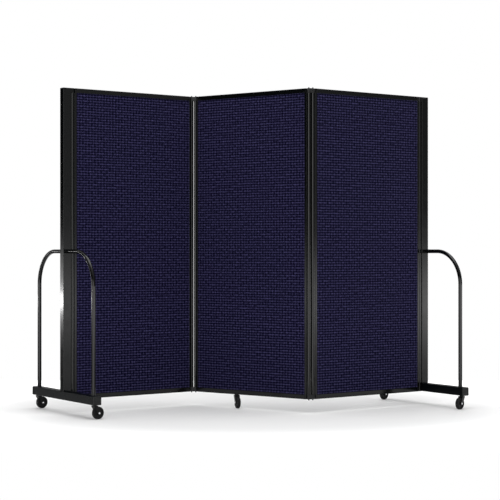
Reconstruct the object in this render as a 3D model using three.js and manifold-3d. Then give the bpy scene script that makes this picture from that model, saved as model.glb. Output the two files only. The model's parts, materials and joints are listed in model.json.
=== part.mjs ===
// A folding ward privacy screen on casters: three fabric panels joined by two
// double hinges, with a wheeled end frame hinged to each end.
// Millimetres, +Z up. X runs along the screen and its front faces -Y.

import * as THREE from 'three';
import { mergeVertices } from 'three/addons/utils/BufferGeometryUtils.js';
import Module from 'manifold-3d';

const wasm = await Module();
wasm.setup();

const degree = Math.PI / 180;

// Clearances
const fitGap = 0.3; // between pieces that seat on or in each other
const swingGap = 0.4; // between a hinge block and the stile that turns past it
const foldGap = 1; // between an end frame and the panel that it folds against
const cutOverrun = 1; // how far a cutter reaches past what it cuts

// How the screen stands, seen from above
const panelTurn = 35 * degree; // each panel against the line of the screen
const leftLinkTurn = 0 * degree;
const rightLinkTurn = 22 * degree;

// Panels
const casterHeight = 66; // floor to the underside of the panels and foot bars
const panelHeight = 1461;
const pivotSpan = 665.4; // from one hinge pivot of a panel to the other
const panelThickness = 19;
const coverSetBack = 1.9; // how far the fabric lies behind the frame's face
const coverThickness = 1.2;
const edgeChamfer = 0.8; // along the outer edges of stiles and rails

// Double hinges between panels
const pivotSpacing = 20.6;
const rodRadius = 3;
const rodStandOut = 5.5; // domed end of a rod above or below its block
const blockHeight = 21;
const blockEdge = 1; // chamfer round a block

// Stiles
const stileFace = 8.4; // flat face beside the fabric, past the hinge blocks
const channelWall = 1.6;

// Rails
const railHeight = 21;
const railWall = 3;
const railWeb = 1.8; // between the hollow chamber and the groove
const railGroove = 6.2; // depth of the groove that takes the covered core
const tenonLength = 5.5;
const tenonWall = 1.6;

// Posts of the end frames
const postWidth = 41;
const postDepth = 35;
const postWall = 2;
const postRound = 2;
const capThickness = 3;
const capPlugDepth = 10;
const capPlugWall = 2.5;
const capEdge = 1;

// Foot bars
const barSize = 40;
const barLength = 614;
const barWall = 2;
const barRound = 3;
const socketRadius = 7.5;
const socketHeight = 15;

// Arch tubes
const archTubeRadius = 9.5;
const archTubeWall = 1.5;
const archLegFromBarEnd = 37; // to the middle of the tube
const archTop = 761; // middle of the tube above the floor
const archBendRadius = 160;

// Casters
const casterFromBarEnd = 27; // to the middle of the stem
const middleCasterFromPivot = 249; // along the middle panel, from its left pivot
const wheelRadius = 28.5;
const wheelWidth = 18;
const wheelShoulder = 4;
const wheelRimDepth = 7;
const wheelDish = 4.5; // how far the wheel's disc lies inside its rim
const hubRadius = 8;
const casterTrail = 18;
const forkWall = 2.5;
const forkRunningGap = 1; // between the wheel and each fork leg
const forkBossRadius = 7;
const forkTopThickness = 3.5;
const forkTopFront = 9.5; // reach of the fork's top ahead of the swivel axis
const forkTopRear = 12;
const raceRadius = 10.5;
const raceHeight = 3.5;
const stemRadius = 4;
const stemLength = 12;
const axleRadius = 3;
const axleHeadRadius = 5;
const axleHeadHeight = 2;

// Headings of the casters against the piece that carries them
const leftFrontHeading = 5 * degree;
const leftRearHeading = 3 * degree;
const middleHeading = -39 * degree;
const rightFrontHeading = 195 * degree;
const rightRearHeading = 193 * degree;

// Fineness of round forms
const roundSteps = 9; // half the sides of a full circle in a drawn shape
const endSteps = 5; // the same for the round end of a block, a lug or a fork leg
const cornerSteps = 1; // the same for the corner of a tube
const wheelSides = 20;
const pinSides = 12;
const archBendSteps = 7;
const archSideSteps = 6;

// Sizes that follow from those above
const frameBottom = casterHeight;
const frameTop = frameBottom + panelHeight;
const panelHalf = panelThickness / 2;
const coverHalf = panelHalf - coverSetBack;
const coreHalf = coverHalf - coverThickness - fitGap;
const grooveHalf = coverHalf + fitGap;
const blockRadius = panelHalf;
const boreRadius = rodRadius + fitGap;
const channelFace = blockRadius + swingGap;
const stileReach = channelFace + stileFace;
const grooveBack = channelFace + channelWall;
const chamberHeight = railHeight - railWall - railWeb - railGroove;
const chamberHalf = grooveHalf - fitGap - tenonWall;
const coreLow = frameBottom + railHeight - railGroove + fitGap;
const coreHigh = frameTop - railHeight + railGroove - fitGap;
const endPivotToPost = Math.max(postWidth, barSize) / 2 + panelHalf + foldGap;
const postSetBack = postDepth / 2 - panelHalf; // post front flush with the panel front
const barTop = casterHeight + barSize;
const archLegSpacing = barLength - 2 * archLegFromBarEnd;
const casterSpacing = barLength - 2 * casterFromBarEnd;
const forkInner = wheelWidth / 2 + forkRunningGap;
const forkOuter = forkInner + forkWall;
const stemHoleRadius = stemRadius + fitGap;

// Finishes
function finish(colour, roughness, metalness) {
  return () => new THREE.MeshStandardMaterial({ color: colour, roughness, metalness });
}
const graphiteCoat = finish(0x242528, 0.42, 0.35);
const glossBlackTube = finish(0x111214, 0.22, 0.4);
const mouldedBlack = finish(0x151517, 0.55, 0);
const navyFabric = finish(0x1e1a42, 0.95, 0);
const boardGrey = finish(0x6d6a62, 0.9, 0);
const darkRod = finish(0x1a1b1d, 0.35, 0.8);
const tyreBlack = finish(0x0e0e10, 0.6, 0);
const casterBlack = finish(0x131315, 0.4, 0.3);
const brightSteel = finish(0xc8cacd, 0.25, 1);

// Turns a closed geometry into a solid that can be joined and cut
function solid(geometry) {
  const bare = geometry.clone();
  bare.deleteAttribute('normal');
  bare.deleteAttribute('uv');
  const merged = mergeVertices(bare);
  const corners = merged.index.array;
  const kept = [];
  for (let i = 0; i < corners.length; i += 3) {
    const [a, b, c] = corners.slice(i, i + 3);
    if (a !== b && b !== c && c !== a) kept.push(a, b, c);
  }
  return new wasm.Manifold(
    new wasm.Mesh({
      numProp: 3,
      vertProperties: merged.attributes.position.array,
      triVerts: new Uint32Array(kept),
    }),
  );
}

function geometryOf(body) {
  const mesh = body.getMesh();
  const geometry = new THREE.BufferGeometry();
  geometry.setAttribute('position', new THREE.BufferAttribute(mesh.vertProperties, 3));
  geometry.setIndex(new THREE.BufferAttribute(mesh.triVerts, 1));
  const faceted = geometry.toNonIndexed();
  faceted.computeVertexNormals();
  return faceted;
}

// An upright prism of a drawn shape
function prism(shape, low, high, steps = roundSteps) {
  const options = { depth: high - low, bevelEnabled: false, curveSegments: steps };
  return new THREE.ExtrudeGeometry(shape, options).translate(0, 0, low);
}

// The same with its two ends chamfered, the shape being drawn at its full size
function chamferedPrism(shape, low, high, chamfer, steps) {
  const options = {
    depth: high - low - 2 * chamfer,
    bevelThickness: chamfer,
    bevelSize: chamfer,
    bevelOffset: -chamfer,
    bevelSegments: 1,
    curveSegments: steps,
  };
  return new THREE.ExtrudeGeometry(shape, options).translate(0, 0, low + chamfer);
}

// Lays a prism drawn in (across, up) along X, or along Y
function alongX(geometry) {
  const turn = new THREE.Matrix4().makeBasis(
    new THREE.Vector3(0, 1, 0),
    new THREE.Vector3(0, 0, 1),
    new THREE.Vector3(1, 0, 0),
  );
  return geometry.applyMatrix4(turn);
}

function alongY(geometry) {
  return geometry.rotateX(Math.PI / 2);
}

function cylinder(radius, low, high, sides = 2 * roundSteps) {
  const geometry = new THREE.CylinderGeometry(radius, radius, high - low, sides);
  return geometry.rotateX(Math.PI / 2).translate(0, 0, (low + high) / 2);
}

function box(lowX, highX, lowY, highY, lowZ, highZ) {
  const geometry = new THREE.BoxGeometry(highX - lowX, highY - lowY, highZ - lowZ);
  return geometry.translate((lowX + highX) / 2, (lowY + highY) / 2, (lowZ + highZ) / 2);
}

function roundedRectangle(width, depth, radius, kind = THREE.Shape) {
  const x = width / 2 - radius;
  const y = depth / 2 - radius;
  const outline = new kind();
  outline.moveTo(x + radius, -y);
  outline.absarc(x, y, radius, 0, Math.PI / 2);
  outline.absarc(-x, y, radius, Math.PI / 2, Math.PI);
  outline.absarc(-x, -y, radius, Math.PI, 1.5 * Math.PI);
  outline.absarc(x, -y, radius, 1.5 * Math.PI, 2 * Math.PI);
  return outline;
}

function rectangle(lowX, highX, lowY, highY, kind = THREE.Shape) {
  const outline = new kind();
  outline.moveTo(lowX, lowY);
  outline.lineTo(highX, lowY);
  outline.lineTo(highX, highY);
  outline.lineTo(lowX, highY);
  outline.closePath();
  return outline;
}

// A square or oblong tube's section
function tubeSection(width, depth, round, wall) {
  const outline = roundedRectangle(width, depth, round);
  const innerRound = Math.max(round - wall, round / 4);
  outline.holes.push(roundedRectangle(width - 2 * wall, depth - 2 * wall, innerRound, THREE.Path));
  return outline;
}

const screen = new THREE.Group();

function add(parent, name, geometry, finishOf, x = 0, y = 0, z = 0) {
  const mesh = new THREE.Mesh(geometry, finishOf());
  mesh.name = name;
  mesh.position.set(x, y, z);
  parent.add(mesh);
  return mesh;
}

// Stile: a channel for the core's edge, and flat faces that run on to a round
// nose bored for the hinge rod. Drawn with the bore on the origin and the panel
// towards +X.
function stileSection() {
  const outline = new THREE.Shape();
  outline.moveTo(stileReach, grooveHalf);
  outline.lineTo(stileReach, panelHalf - edgeChamfer / 2);
  outline.lineTo(stileReach - edgeChamfer / 2, panelHalf);
  outline.absarc(0, 0, panelHalf, Math.PI / 2, 1.5 * Math.PI);
  outline.lineTo(stileReach - edgeChamfer / 2, -panelHalf);
  outline.lineTo(stileReach, edgeChamfer / 2 - panelHalf);
  outline.lineTo(stileReach, -grooveHalf);
  outline.lineTo(grooveBack, -grooveHalf);
  outline.lineTo(grooveBack, grooveHalf);
  outline.closePath();
  outline.holes.push(new THREE.Path().absarc(0, 0, boreRadius, 0, 2 * Math.PI));
  return outline;
}

function stileGeometry() {
  const seat = blockHeight + fitGap;
  const reach = panelHalf + cutOverrun;
  const below = box(-reach, channelFace, -reach, reach, frameBottom - cutOverrun, frameBottom + seat);
  const above = box(-reach, channelFace, -reach, reach, frameTop - seat, frameTop + cutOverrun);
  const bar = solid(prism(stileSection(), frameBottom, frameTop));
  return geometryOf(bar.subtract(solid(below)).subtract(solid(above)));
}

// Rail: a hollow bar with a groove for the core and a tenon at each end.
// Its outer edge lies on z = 0 and its groove opens upwards.
function railGeometry(socketPlace = null) {
  const webTop = railHeight - railGroove;
  const section = new THREE.Shape();
  section.moveTo(edgeChamfer - panelHalf, 0);
  section.lineTo(panelHalf - edgeChamfer, 0);
  section.lineTo(panelHalf, edgeChamfer);
  section.lineTo(panelHalf, railHeight - edgeChamfer / 2);
  section.lineTo(panelHalf - edgeChamfer / 2, railHeight);
  section.lineTo(grooveHalf, railHeight);
  section.lineTo(grooveHalf, webTop);
  section.lineTo(-grooveHalf, webTop);
  section.lineTo(-grooveHalf, railHeight);
  section.lineTo(edgeChamfer / 2 - panelHalf, railHeight);
  section.lineTo(-panelHalf, railHeight - edgeChamfer / 2);
  section.lineTo(-panelHalf, edgeChamfer);
  section.closePath();
  const chamberTop = railWall + chamberHeight;
  const chamber = () => rectangle(-chamberHalf, chamberHalf, railWall, chamberTop, THREE.Path);
  section.holes.push(chamber());

  const tenonHalf = grooveHalf - fitGap;
  const tenon = rectangle(-tenonHalf, tenonHalf, railWall - tenonWall, webTop);
  tenon.holes.push(chamber());

  const faceEnd = stileReach + fitGap;
  const tenonEnd = stileReach - tenonLength;
  const bar = solid(alongX(prism(section, faceEnd, pivotSpan - faceEnd)));
  const core = solid(alongX(prism(tenon, tenonEnd, pivotSpan - tenonEnd)));
  let rail = bar.add(core);
  if (socketPlace !== null) {
    const fillHalf = chamberHalf + railWeb / 2;
    const filling = box(
      socketPlace - socketRadius, socketPlace + socketRadius,
      -fillHalf, fillHalf, railWall / 2, chamberTop + railWeb / 2,
    );
    const hole = cylinder(stemHoleRadius, -cutOverrun, stemLength + fitGap, pinSides);
    rail = rail.add(solid(filling)).subtract(solid(hole.translate(socketPlace, 0, 0)));
  }
  return geometryOf(rail);
}

// Board core and the fabric cover that wraps its faces and side edges
function coreGeometry() {
  const inset = grooveBack + fitGap + coverThickness + fitGap;
  return box(inset, pivotSpan - inset, -coreHalf, coreHalf, coreLow, coreHigh);
}

function coverGeometry() {
  const inset = grooveBack + fitGap;
  const inner = inset + coverThickness;
  const innerHalf = coverHalf - coverThickness;
  const outline = roundedRectangle(pivotSpan - 2 * inset, 2 * coverHalf, coverThickness);
  const outside = prism(outline, coreLow, coreHigh, cornerSteps).translate(pivotSpan / 2, 0, 0);
  const inside = box(
    inner, pivotSpan - inner, -innerHalf, innerHalf, coreLow - cutOverrun, coreHigh + cutOverrun,
  );
  return geometryOf(solid(outside).subtract(solid(inside)));
}

function addPanel(group, name, socketPlace = null) {
  add(group, `${name}_core`, coreGeometry(), boardGrey);
  add(group, `${name}_fabric_cover`, coverGeometry(), navyFabric);
  add(group, `${name}_left_stile`, stileGeometry(), graphiteCoat);
  const rightStile = add(group, `${name}_right_stile`, stileGeometry(), graphiteCoat, pivotSpan);
  rightStile.rotation.z = Math.PI;
  add(group, `${name}_bottom_rail`, railGeometry(socketPlace), graphiteCoat, 0, 0, frameBottom);
  const topRail = add(group, `${name}_top_rail`, railGeometry(), graphiteCoat, 0, 0, frameTop);
  topRail.rotation.x = Math.PI;
}

// Hinge rod with domed ends
function rodGeometry(low, high) {
  const profile = [new THREE.Vector2(0, low)];
  const domeSteps = 3;
  for (let i = 1; i <= domeSteps; i += 1) {
    const turn = (Math.PI / 2) * (i / domeSteps);
    profile.push(new THREE.Vector2(rodRadius * Math.sin(turn), low + rodRadius * (1 - Math.cos(turn))));
  }
  for (let i = domeSteps; i >= 1; i -= 1) {
    const turn = (Math.PI / 2) * (i / domeSteps);
    profile.push(new THREE.Vector2(rodRadius * Math.sin(turn), high - rodRadius * (1 - Math.cos(turn))));
  }
  profile.push(new THREE.Vector2(0, high));
  return new THREE.LatheGeometry(profile, pinSides).rotateX(Math.PI / 2);
}

// Link block: two round ends, one on each pivot, with a bore for each rod
function linkBlockGeometry(low) {
  const outline = new THREE.Shape();
  outline.absarc(0, 0, blockRadius, Math.PI / 2, 1.5 * Math.PI);
  outline.absarc(pivotSpacing, 0, blockRadius, -Math.PI / 2, Math.PI / 2);
  outline.closePath();
  const high = low + blockHeight;
  let block = solid(chamferedPrism(outline, low, high, blockEdge, endSteps));
  for (const place of [0, pivotSpacing]) {
    const bore = cylinder(boreRadius, low - cutOverrun, high + cutOverrun, pinSides);
    block = block.subtract(solid(bore.translate(place, 0, 0)));
  }
  return geometryOf(block);
}

function addLink(group, name) {
  const low = frameBottom - rodStandOut;
  const high = frameTop + rodStandOut;
  add(group, `${name}_hinge_bottom_block`, linkBlockGeometry(frameBottom), mouldedBlack);
  add(group, `${name}_hinge_top_block`, linkBlockGeometry(frameTop - blockHeight), mouldedBlack);
  add(group, `${name}_hinge_left_rod`, rodGeometry(low, high), darkRod);
  add(group, `${name}_hinge_right_rod`, rodGeometry(low, high), darkRod, pivotSpacing);
}

// Lug of an end hinge: round at the pivot, flat where it meets its carrier
function lugGeometry(low, reach) {
  const outline = new THREE.Shape();
  outline.absarc(0, 0, blockRadius, Math.PI / 2, 1.5 * Math.PI);
  outline.lineTo(reach, -blockRadius);
  outline.lineTo(reach, blockRadius);
  outline.closePath();
  const high = low + blockHeight;
  const bore = cylinder(boreRadius, low - cutOverrun, high + cutOverrun, pinSides);
  return geometryOf(solid(prism(outline, low, high, endSteps)).subtract(solid(bore)));
}

// Post: an oblong tube that the arch passes through
function postGeometry() {
  const section = tubeSection(postWidth, postDepth, postRound, postWall);
  const tube = solid(prism(section, barTop + fitGap, frameTop - capThickness - fitGap, cornerSteps));
  const passage = alongY(cylinder(archTubeRadius + fitGap, -postDepth, postDepth));
  return geometryOf(tube.subtract(solid(passage.translate(0, 0, archTop))));
}

// Moulded cap: a chamfered plate and the hollow plug that fills the tube's end.
// The plate's inner face lies on z = 0 and the plug hangs below it.
function tubeCapGeometry(width, depth, round, wall) {
  const plate = chamferedPrism(
    roundedRectangle(width, depth, round), 0, capThickness, capEdge, cornerSteps,
  );
  const plugInset = 2 * (wall + fitGap);
  const plugRound = Math.max(round - wall, round / 4);
  const plug = tubeSection(width - plugInset, depth - plugInset, plugRound, capPlugWall);
  const body = solid(plate).add(solid(prism(plug, -capPlugDepth, capEdge, cornerSteps)));
  return geometryOf(body);
}

// Foot bar: a square tube along Y with two sockets for caster stems
function footBarGeometry() {
  const tubeHalf = barLength / 2 - capThickness - fitGap;
  const section = tubeSection(barSize, barSize, barRound, barWall);
  let bar = solid(alongY(prism(section, -tubeHalf, tubeHalf, cornerSteps)));
  for (const side of [-1, 1]) {
    const place = (side * casterSpacing) / 2;
    const floor = -barSize / 2;
    const socket = cylinder(socketRadius, floor + barWall / 2, floor + socketHeight, pinSides);
    const hole = cylinder(stemHoleRadius, floor - cutOverrun, floor + stemLength + fitGap, pinSides);
    bar = bar.add(solid(socket.translate(0, place, 0)));
    bar = bar.subtract(solid(hole.translate(0, place, 0)));
  }
  return geometryOf(bar);
}

// Middle line of an arch: up a leg, round a bend, across, round and down.
// Its stations are the points where the tube's section is placed.
class ArchLine extends THREE.Curve {
  constructor(foot) {
    super();
    this.foot = foot;
    this.steps = 2 * archBendSteps + 3;
  }

  getUtoTmapping(share) {
    return share;
  }

  getPoint(share, target = new THREE.Vector3()) {
    const station = share * this.steps;
    const mirrored = station > this.steps / 2;
    const fromFoot = mirrored ? this.steps - station : station;
    const half = archLegSpacing / 2;
    const bendCentre = half - archBendRadius;
    const bendLow = archTop - archBendRadius;
    let across = half;
    let up = this.foot + (bendLow - this.foot) * Math.min(fromFoot, 1);
    if (fromFoot > 1) {
      const turn = (Math.PI / 2) * Math.min((fromFoot - 1) / archBendSteps, 1);
      across = bendCentre + archBendRadius * Math.cos(turn);
      up = bendLow + archBendRadius * Math.sin(turn);
    }
    if (fromFoot > 1 + archBendSteps) {
      across = bendCentre * (1 - 2 * (fromFoot - 1 - archBendSteps));
    }
    return target.set(0, mirrored ? across : -across, up);
  }
}

function archGeometry() {
  const line = new ArchLine(barTop + fitGap);
  const section = new THREE.Shape().absarc(0, 0, archTubeRadius, 0, 2 * Math.PI);
  const bore = archTubeRadius - archTubeWall;
  section.holes.push(new THREE.Path().absarc(0, 0, bore, 0, 2 * Math.PI));
  const options = { steps: line.steps, extrudePath: line, curveSegments: archSideSteps };
  return new THREE.ExtrudeGeometry(section, options);
}

// Wheel: a tyre with round shoulders, a dished disc and a bored hub, about Y
function wheelGeometry() {
  const half = wheelWidth / 2;
  const rimInner = wheelRadius - wheelRimDepth;
  const discHalf = half - wheelDish;
  const hubHalf = half + forkRunningGap - fitGap;
  const shoulderSteps = 2;
  const outline = [
    [axleRadius + fitGap, -hubHalf],
    [hubRadius, -hubHalf],
    [hubRadius, -discHalf],
    [rimInner, -discHalf],
    [rimInner, -half],
  ];
  for (const side of [-1, 1]) {
    for (let i = 0; i <= shoulderSteps; i += 1) {
      const step = side < 0 ? i : shoulderSteps - i;
      const turn = (Math.PI / 2) * (step / shoulderSteps);
      outline.push([
        wheelRadius - wheelShoulder * (1 - Math.sin(turn)),
        side * (half - wheelShoulder * (1 - Math.cos(turn))),
      ]);
    }
  }
  outline.push(
    [rimInner, half],
    [rimInner, discHalf],
    [hubRadius, discHalf],
    [hubRadius, hubHalf],
    [axleRadius + fitGap, hubHalf],
    [axleRadius + fitGap, -hubHalf],
  );
  const profile = outline.map(([radius, along]) => new THREE.Vector2(radius, along));
  return new THREE.LatheGeometry(profile, wheelSides);
}

// Axle: a pin with a low domed head outside each fork leg, about Y
function axleGeometry() {
  const headLow = forkOuter + fitGap;
  const headHigh = headLow + axleHeadHeight;
  const domeRadius = axleHeadRadius * 0.7;
  const half = [
    [0, headHigh],
    [domeRadius, headHigh],
    [axleHeadRadius, headLow + axleHeadHeight / 2],
    [axleHeadRadius, headLow],
    [axleRadius, headLow],
  ];
  const profile = [
    ...half.map(([radius, along]) => new THREE.Vector2(radius, -along)),
    ...half.reverse().map(([radius, along]) => new THREE.Vector2(radius, along)),
  ];
  return new THREE.LatheGeometry(profile, pinSides);
}

// The point where a straight edge from a corner touches a round boss
function tangentPoint(corner, centre, radius, side) {
  const away = corner.clone().sub(centre);
  const turn = away.angle() + side * Math.acos(radius / away.length());
  return new THREE.Vector2(Math.cos(turn), Math.sin(turn)).multiplyScalar(radius).add(centre);
}

// Fork: top plate, two legs that taper to the axle, race and stem
function forkGeometry() {
  const top = casterHeight - fitGap - raceHeight;
  const low = top - forkTopThickness;
  const axle = new THREE.Vector2(casterTrail, wheelRadius);
  const front = new THREE.Vector2(-forkTopFront, low);
  const rear = new THREE.Vector2(forkTopRear, low);
  const frontTouch = tangentPoint(front, axle, forkBossRadius, 1);
  const rearTouch = tangentPoint(rear, axle, forkBossRadius, -1);
  const startTurn = frontTouch.clone().sub(axle).angle();
  const endTurn = rearTouch.clone().sub(axle).angle() + 2 * Math.PI;

  const leg = new THREE.Shape();
  leg.moveTo(rear.x, top);
  leg.lineTo(front.x, top);
  leg.lineTo(front.x, front.y);
  leg.lineTo(frontTouch.x, frontTouch.y);
  leg.absarc(axle.x, axle.y, forkBossRadius, startTurn, endTurn);
  leg.lineTo(rear.x, rear.y);
  leg.closePath();

  const plate = box(-forkTopFront, forkTopRear, -forkOuter, forkOuter, low, top);
  let fork = solid(plate);
  for (const side of [-1, 1]) {
    const near = side < 0 ? -forkOuter : forkInner;
    const upright = alongY(prism(leg, -near - forkWall, -near, endSteps));
    fork = fork.add(solid(upright));
  }
  const race = cylinder(raceRadius, top - cutOverrun, casterHeight - fitGap, pinSides);
  const stem = cylinder(stemRadius, top, casterHeight + stemLength, pinSides);
  const bore = alongY(cylinder(axleRadius + fitGap, -2 * forkOuter, 2 * forkOuter, pinSides));
  fork = fork.add(solid(race)).add(solid(stem));
  return geometryOf(fork.subtract(solid(bore.translate(axle.x, 0, axle.y))));
}

function addCaster(parent, name, x, y, heading) {
  const swivel = new THREE.Group();
  swivel.position.set(x, y, 0);
  swivel.rotation.z = heading;
  parent.add(swivel);
  add(swivel, `${name}_caster_fork`, forkGeometry(), casterBlack);
  add(swivel, `${name}_caster_wheel`, wheelGeometry(), tyreBlack, casterTrail, 0, wheelRadius);
  add(swivel, `${name}_caster_axle`, axleGeometry(), brightSteel, casterTrail, 0, wheelRadius);
}

// End frame on its pivot; side is -1 at the left end and 1 at the right
function addEndFrame(group, name, side, frontHeading, rearHeading) {
  const x = side * endPivotToPost;
  const y = postSetBack;
  add(group, `${name}_post`, postGeometry(), graphiteCoat, x, y);
  const postCap = tubeCapGeometry(postWidth, postDepth, postRound, postWall);
  add(group, `${name}_post_cap`, postCap, mouldedBlack, x, y, frameTop - capThickness);
  add(group, `${name}_arch`, archGeometry(), glossBlackTube, x, y);

  const barMiddle = casterHeight + barSize / 2;
  add(group, `${name}_foot_bar`, footBarGeometry(), graphiteCoat, x, y, barMiddle);
  for (const end of [-1, 1]) {
    const place = y + end * (barLength / 2 - capThickness);
    const label = end < 0 ? 'front' : 'rear';
    const barCap = tubeCapGeometry(barSize, barSize, barRound, barWall);
    const cap = add(group, `${name}_bar_${label}_cap`, barCap, mouldedBlack, x, place, barMiddle);
    cap.rotation.x = (-end * Math.PI) / 2;
  }

  const postFace = endPivotToPost - postWidth / 2;
  const barFace = endPivotToPost - barSize / 2;
  const topLug = lugGeometry(frameTop - blockHeight, postFace - fitGap);
  const bottomLug = lugGeometry(frameBottom, barFace - fitGap);
  const rod = rodGeometry(frameBottom, frameTop);
  const lugTurn = side < 0 ? Math.PI : 0;
  add(group, `${name}_top_lug`, topLug, graphiteCoat).rotation.z = lugTurn;
  add(group, `${name}_bottom_lug`, bottomLug, graphiteCoat).rotation.z = lugTurn;
  add(group, `${name}_end_rod`, rod, darkRod);

  addCaster(group, `${name}_front`, x, y - casterSpacing / 2, frontHeading);
  addCaster(group, `${name}_rear`, x, y + casterSpacing / 2, rearHeading);
}

// Plan: the middle panel is centred, and each next piece starts on the pivot
// where the last one ends
function direction(turn) {
  return new THREE.Vector2(Math.cos(turn), Math.sin(turn));
}

function place(point, turn) {
  const group = new THREE.Group();
  group.position.set(point.x, point.y, 0);
  group.rotation.z = turn;
  screen.add(group);
  return group;
}

const middleLeft = direction(-panelTurn).multiplyScalar(-pivotSpan / 2);
const middleRight = direction(-panelTurn).multiplyScalar(pivotSpan / 2);
const leftLinkStart = middleLeft.clone().addScaledVector(direction(leftLinkTurn), -pivotSpacing);
const leftEnd = leftLinkStart.clone().addScaledVector(direction(panelTurn), -pivotSpan);
const rightLinkEnd = middleRight.clone().addScaledVector(direction(rightLinkTurn), pivotSpacing);
const rightEnd = rightLinkEnd.clone().addScaledVector(direction(panelTurn), pivotSpan);

const middlePanel = place(middleLeft, -panelTurn);
addPanel(middlePanel, 'middle', middleCasterFromPivot);
addCaster(middlePanel, 'middle', middleCasterFromPivot, 0, middleHeading);
addLink(place(leftLinkStart, leftLinkTurn), 'left');
addPanel(place(leftEnd, panelTurn), 'left');
addEndFrame(place(leftEnd, panelTurn), 'left', -1, leftFrontHeading, leftRearHeading);
addLink(place(middleRight, rightLinkTurn), 'right');
addPanel(place(rightLinkEnd, panelTurn), 'right');
addEndFrame(place(rightEnd, panelTurn), 'right', 1, rightFrontHeading, rightRearHeading);

// The origin is the middle of the screen's footprint, on the floor
screen.updateMatrixWorld(true);
const extent = new THREE.Box3().setFromObject(screen, true);
const middle = extent.getCenter(new THREE.Vector3());
screen.position.set(-middle.x, -middle.y, -extent.min.z);

export default screen;
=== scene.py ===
# %% [markdown]
# # A folding ward screen on casters
#
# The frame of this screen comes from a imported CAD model: plain, faceted solids that are right in
# place and size. This lesson dresses them. Each visible piece is made again as a smooth surface
# that is worked out with numpy, gets a finish made of shader nodes, and rides on the same rigid
# body as the solid that it stands for, so every hinge and caster still moves.
#
# Everything is in metres, with +Z up. The front of the screen faces -Y.

# %% Load the frame
import json
import math

import bpy
import numpy as np
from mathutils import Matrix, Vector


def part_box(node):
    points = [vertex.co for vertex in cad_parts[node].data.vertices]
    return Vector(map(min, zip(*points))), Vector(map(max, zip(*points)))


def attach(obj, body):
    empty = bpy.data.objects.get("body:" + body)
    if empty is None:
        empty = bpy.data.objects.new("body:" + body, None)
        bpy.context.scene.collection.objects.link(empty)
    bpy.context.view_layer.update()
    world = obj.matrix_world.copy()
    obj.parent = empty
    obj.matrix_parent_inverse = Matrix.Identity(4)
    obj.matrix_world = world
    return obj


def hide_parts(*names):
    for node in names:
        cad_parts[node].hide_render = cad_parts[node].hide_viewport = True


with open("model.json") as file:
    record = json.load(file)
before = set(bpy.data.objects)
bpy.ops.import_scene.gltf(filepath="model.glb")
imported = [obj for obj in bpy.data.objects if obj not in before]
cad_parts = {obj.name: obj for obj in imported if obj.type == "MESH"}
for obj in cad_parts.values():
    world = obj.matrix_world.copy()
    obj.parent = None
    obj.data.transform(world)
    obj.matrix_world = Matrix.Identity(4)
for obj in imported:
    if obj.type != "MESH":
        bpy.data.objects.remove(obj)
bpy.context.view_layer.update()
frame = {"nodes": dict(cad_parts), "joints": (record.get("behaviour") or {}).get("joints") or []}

# %% [markdown]
# ## Where the pieces stand
#
# Panels, links and end frames are all turned about upright hinge rods, so each one has its own
# directions: along the panel, across it, and up. A `stand` keeps the upright axis that a group
# starts from and the way it runs. Shapes are drawn in those plain directions and then placed.
# The rods' own boxes in the CAD model say where the stands are, so nothing is measured twice.

# %% Stands of the panels, links and end frames
def middle_of(node):
    """The centre of a CAD node's box."""
    low, high = (np.array(corner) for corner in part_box(node))
    return (low + high) / 2


def heights_of(node):
    """The lowest and highest Z of a CAD node."""
    low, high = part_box(node)
    return low[2], high[2]


def stand_between(start, end):
    """A stand that starts at one upright axis and runs towards another."""
    run = (end - start)[:2]
    length = float(np.hypot(*run))
    return {"origin": start[:2], "along": run / length, "length": length}


def on_stand(stand, points):
    """Carries points (along, across, up) to the frame: origin + along a + across b, up kept."""
    along = np.append(stand["along"], 0)
    across = np.array([-along[1], along[0], 0])
    up = np.array([0, 0, 1])
    origin = np.append(stand["origin"], 0)
    return origin + points[..., :1] * along + points[..., 1:2] * across + points[..., 2:3] * up


rods = {
    "left_end": middle_of("left_end_rod"),
    "left_outer": middle_of("left_hinge_left_rod"),
    "left_inner": middle_of("left_hinge_right_rod"),
    "right_inner": middle_of("right_hinge_left_rod"),
    "right_outer": middle_of("right_hinge_right_rod"),
    "right_end": middle_of("right_end_rod"),
}
panels = {
    "left": ("left_panel", stand_between(rods["left_end"], rods["left_outer"])),
    "middle": ("center_panel", stand_between(rods["left_inner"], rods["right_inner"])),
    "right": ("right_panel", stand_between(rods["right_outer"], rods["right_end"])),
}
links = {
    "left": ("left_link", stand_between(rods["left_outer"], rods["left_inner"])),
    "right": ("right_link", stand_between(rods["right_inner"], rods["right_outer"])),
}
print("panel length from rod to rod", round(panels["middle"][1]["length"], 4))

# %% [markdown]
# ## The camera
#
# The photograph was taken level, from well in front and about half the screen's height, through a
# long lens. The distance, the height, the place aside and the lens were fitted to the corners of
# the three panels. The view runs straight along +Y, so upright edges stay upright and no lens
# shift is needed.

# %% Make the camera
CAMERA_DISTANCE = 6.910
CAMERA_HEIGHT = 0.7673
CAMERA_ASIDE = -0.0037
LENS_MM = 103.0
SENSOR_MM = 36
SIGHT_LIMIT = 100

scene = bpy.context.scene
camera_data = bpy.data.cameras.new("camera")
camera_data.sensor_width = SENSOR_MM
camera_data.lens = LENS_MM
camera_data.clip_end = SIGHT_LIMIT
camera = bpy.data.objects.new("camera", camera_data)
scene.collection.objects.link(camera)
middle_place = (rods["left_inner"] + rods["right_inner"]) / 2
camera.location = (
    middle_place[0] + CAMERA_ASIDE,
    middle_place[1] - CAMERA_DISTANCE,
    CAMERA_HEIGHT,
)
camera.rotation_euler = (math.radians(90), 0, 0)
scene.camera = camera
scene.view_settings.view_transform = "Standard"
print("camera at", [round(value, 3) for value in camera.location])

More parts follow.
